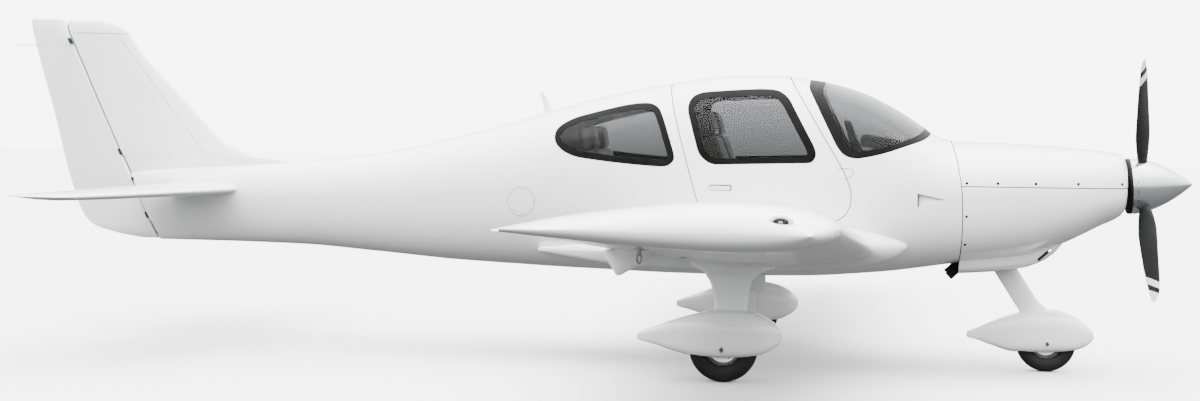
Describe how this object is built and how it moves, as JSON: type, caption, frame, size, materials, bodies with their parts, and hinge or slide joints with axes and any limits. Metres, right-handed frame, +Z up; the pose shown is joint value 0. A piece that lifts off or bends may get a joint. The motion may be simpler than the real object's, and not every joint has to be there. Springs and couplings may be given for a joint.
{
  "type": "light aircraft",
  "caption": "Low-wing four-seat light aircraft with fixed faired tricycle gear, hinged cabin doors, control surfaces and a turning propeller.",
  "frame": {"origin": "middle of the bounding box on the ground under the cabin", "axes": "+X to the nose, +Y to the left wing, +Z up; the tyres stand on z = 0"},
  "size_m": [7.9745, 11.44, 2.256],
  "materials": {
    "cabin_shell_finish": "gloss white painted composite",
    "windshield_finish": "tinted clear glazing",
    "door_right_finish": "gloss white painted composite",
    "door_window_right_finish": "tinted clear glazing",
    "rear_window_right_finish": "tinted clear glazing",
    "door_left_finish": "gloss white painted composite",
    "door_window_left_finish": "tinted clear glazing",
    "rear_window_left_finish": "tinted clear glazing",
    "tail_cone_finish": "gloss white painted composite",
    "cowling_upper_finish": "gloss white painted composite",
    "cowling_lower_finish": "gloss white painted composite",
    "engine_block_finish": "plain block for the closed engine",
    "exhaust_right_finish": "sooty steel pipe",
    "exhaust_left_finish": "sooty steel pipe",
    "spinner_finish": "polished metal",
    "propeller_finish": "matt black blades",
    "wing_left_finish": "gloss white painted composite",
    "flap_left_finish": "gloss white painted composite",
    "flap_right_finish": "gloss white painted composite",
    "aileron_left_finish": "gloss white painted composite",
    "aileron_right_finish": "gloss white painted composite",
    "wing_right_finish": "gloss white painted composite",
    "tailplane_left_finish": "gloss white painted composite",
    "elevator_left_finish": "gloss white painted composite",
    "tailplane_right_finish": "gloss white painted composite",
    "elevator_right_finish": "gloss white painted composite",
    "fin_finish": "gloss white painted composite",
    "rudder_finish": "gloss white painted composite",
    "main_wheel_left_finish": "black rubber tyre on a light rim",
    "nose_wheel_finish": "black rubber tyre on a light rim",
    "main_wheel_right_finish": "black rubber tyre on a light rim",
    "main_leg_left_finish": "gloss white painted composite",
    "main_fairing_left_finish": "gloss white painted composite",
    "main_fairing_right_finish": "gloss white painted composite",
    "main_leg_right_finish": "gloss white painted composite",
    "nose_leg_finish": "gloss white painted composite",
    "nose_fork_finish": "steel",
    "nose_fairing_finish": "gloss white painted composite",
    "cabin_floor_finish": "dark trim",
    "front_seat_left_finish": "dark olive leather",
    "front_seat_right_finish": "dark olive leather",
    "rear_seat_finish": "dark olive leather",
    "centre_console_finish": "dark trim",
    "instrument_panel_finish": "dark trim",
    "roof_antenna_finish": "gloss white painted composite"
  },
  "bodies": {
    "airframe": {"cabin_shell": "cabin_shell_finish", "windshield": "windshield_finish", "rear_window_right": "rear_window_right_finish", "rear_window_left": "rear_window_left_finish", "tail_cone": "tail_cone_finish", "cowling_upper": "cowling_upper_finish", "cowling_lower": "cowling_lower_finish", "engine_block": "engine_block_finish", "exhaust_right": "exhaust_right_finish", "exhaust_left": "exhaust_left_finish", "wing_left": "wing_left_finish", "wing_right": "wing_right_finish", "tailplane_left": "tailplane_left_finish", "tailplane_right": "tailplane_right_finish", "fin": "fin_finish", "main_leg_left": "main_leg_left_finish", "main_fairing_left": "main_fairing_left_finish", "main_fairing_right": "main_fairing_right_finish", "main_leg_right": "main_leg_right_finish", "cabin_floor": "cabin_floor_finish", "front_seat_left": "front_seat_left_finish", "front_seat_right": "front_seat_right_finish", "rear_seat": "rear_seat_finish", "centre_console": "centre_console_finish", "instrument_panel": "instrument_panel_finish", "roof_antenna": "roof_antenna_finish"},
    "propeller": {"propeller": "propeller_finish", "spinner": "spinner_finish"},
    "main_wheel_left": {"main_wheel_left": "main_wheel_left_finish"},
    "main_wheel_right": {"main_wheel_right": "main_wheel_right_finish"},
    "nose_gear": {"nose_leg": "nose_leg_finish", "nose_fork": "nose_fork_finish", "nose_fairing": "nose_fairing_finish"},
    "nose_wheel": {"nose_wheel": "nose_wheel_finish"},
    "door_left": {"door_left": "door_left_finish", "door_window_left": "door_window_left_finish"},
    "door_right": {"door_right": "door_right_finish", "door_window_right": "door_window_right_finish"},
    "rudder": {"rudder": "rudder_finish"},
    "elevator": {"elevator_left": "elevator_left_finish", "elevator_right": "elevator_right_finish"},
    "aileron_left": {"aileron_left": "aileron_left_finish"},
    "aileron_right": {"aileron_right": "aileron_right_finish"},
    "flap_left": {"flap_left": "flap_left_finish"},
    "flap_right": {"flap_right": "flap_right_finish"}
  },
  "joints": [
    {"name": "propeller_spin", "type": "hinge", "parent": "airframe", "child": "propeller", "pos_m": [3.605, 0, 1.212], "axis": [0.9986, 0, 0.0523], "continuous": true},
    {"name": "main_wheel_left_spin", "type": "hinge", "parent": "airframe", "child": "main_wheel_left", "pos_m": [1.095, 1, 0.21], "axis": [0, 1, 0], "continuous": true},
    {"name": "main_wheel_right_spin", "type": "hinge", "parent": "airframe", "child": "main_wheel_right", "pos_m": [1.095, -1, 0.21], "axis": [0, 1, 0], "continuous": true},
    {"name": "nose_leg_steer", "type": "hinge", "parent": "airframe", "child": "nose_gear", "pos_m": [2.99, 0, 0.408], "axis": [-0.5446, 0, 0.8387], "range_deg": [-25, 25]},
    {"name": "nose_wheel_spin", "type": "hinge", "parent": "nose_gear", "child": "nose_wheel", "pos_m": [3.095, 0, 0.189], "axis": [0, 1, 0], "continuous": true},
    {"name": "door_left_hinge", "type": "hinge", "parent": "airframe", "child": "door_left", "pos_m": [1.18, 0.057, 1.9], "axis": [1, 0, 0], "range_deg": [0, 75]},
    {"name": "door_right_hinge", "type": "hinge", "parent": "airframe", "child": "door_right", "pos_m": [1.18, -0.057, 1.9], "axis": [-1, 0, 0], "range_deg": [0, 75]},
    {"name": "rudder_hinge", "type": "hinge", "parent": "airframe", "child": "rudder", "pos_m": [-3.3585, 0, 1.4245], "axis": [-0.4284, 0, 0.9036], "range_deg": [-20, 20]},
    {"name": "elevator_hinge", "type": "hinge", "parent": "airframe", "child": "elevator", "pos_m": [-2.905, 0, 1.076], "axis": [0, 1, 0], "range_deg": [-15, 25]},
    {"name": "aileron_left_hinge", "type": "hinge", "parent": "airframe", "child": "aileron_left", "pos_m": [0.9734, 4.34, 1.0939], "axis": [0.0407, 0.9956, 0.084], "range_deg": [-12.5, 12.5]},
    {"name": "aileron_right_hinge", "type": "hinge", "parent": "airframe", "child": "aileron_right", "pos_m": [0.9734, -4.34, 1.0939], "axis": [-0.0407, 0.9956, -0.084], "range_deg": [-12.5, 12.5]},
    {"name": "flap_left_hinge", "type": "hinge", "parent": "airframe", "child": "flap_left", "pos_m": [0.88204, 2.104, 0.9037], "axis": [-0.0406, -0.9955, -0.0852], "range_deg": [0, 32]},
    {"name": "flap_right_hinge", "type": "hinge", "parent": "airframe", "child": "flap_right", "pos_m": [0.88204, -2.104, 0.9037], "axis": [0.0406, -0.9955, 0.0852], "range_deg": [0, 32]}
  ],
  "couplings": [
    {"joint": "aileron_right_hinge", "follows": "aileron_left_hinge", "ratio": -1},
    {"joint": "flap_right_hinge", "follows": "flap_left_hinge", "ratio": 1}
  ]
}
